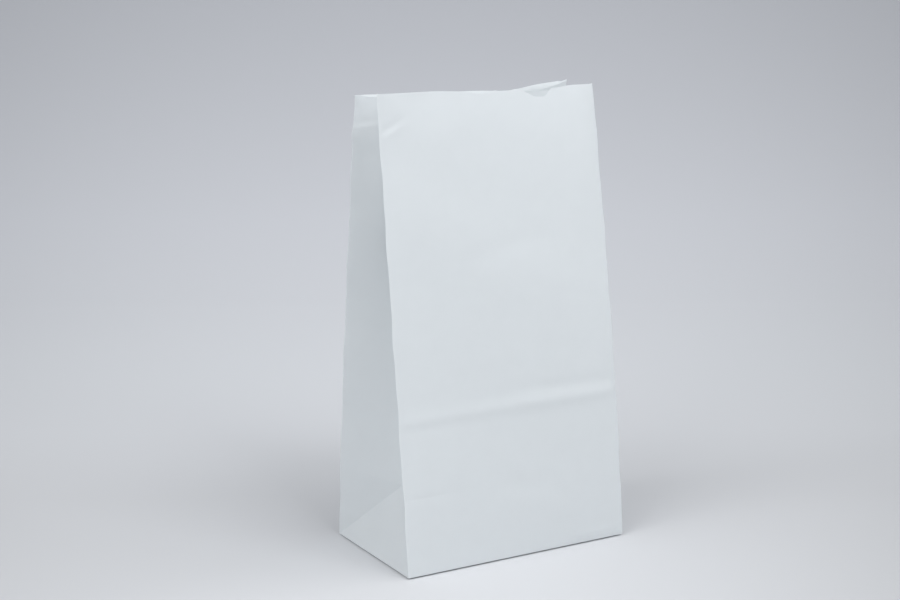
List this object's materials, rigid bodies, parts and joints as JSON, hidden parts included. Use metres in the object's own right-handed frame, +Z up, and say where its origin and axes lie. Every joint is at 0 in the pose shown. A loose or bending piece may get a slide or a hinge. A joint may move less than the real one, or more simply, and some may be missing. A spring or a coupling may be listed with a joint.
{
  "type": "paper merchandise bag",
  "caption": "Plain white flat-bottomed paper bag with gusseted sides, standing upright with its mouth nearly closed.",
  "frame": {"origin": "middle of the base, on the surface that the bag stands on", "axes": "+Z up, +X to the right along the front panel, +Y from the front panel to the back panel"},
  "size_m": [0.1526, 0.0923, 0.2807],
  "materials": {
    "paper": "smooth matte bleached kraft paper"
  },
  "bodies": {
    "root": {"paper_bag": "paper"}
  },
  "joints": []
}
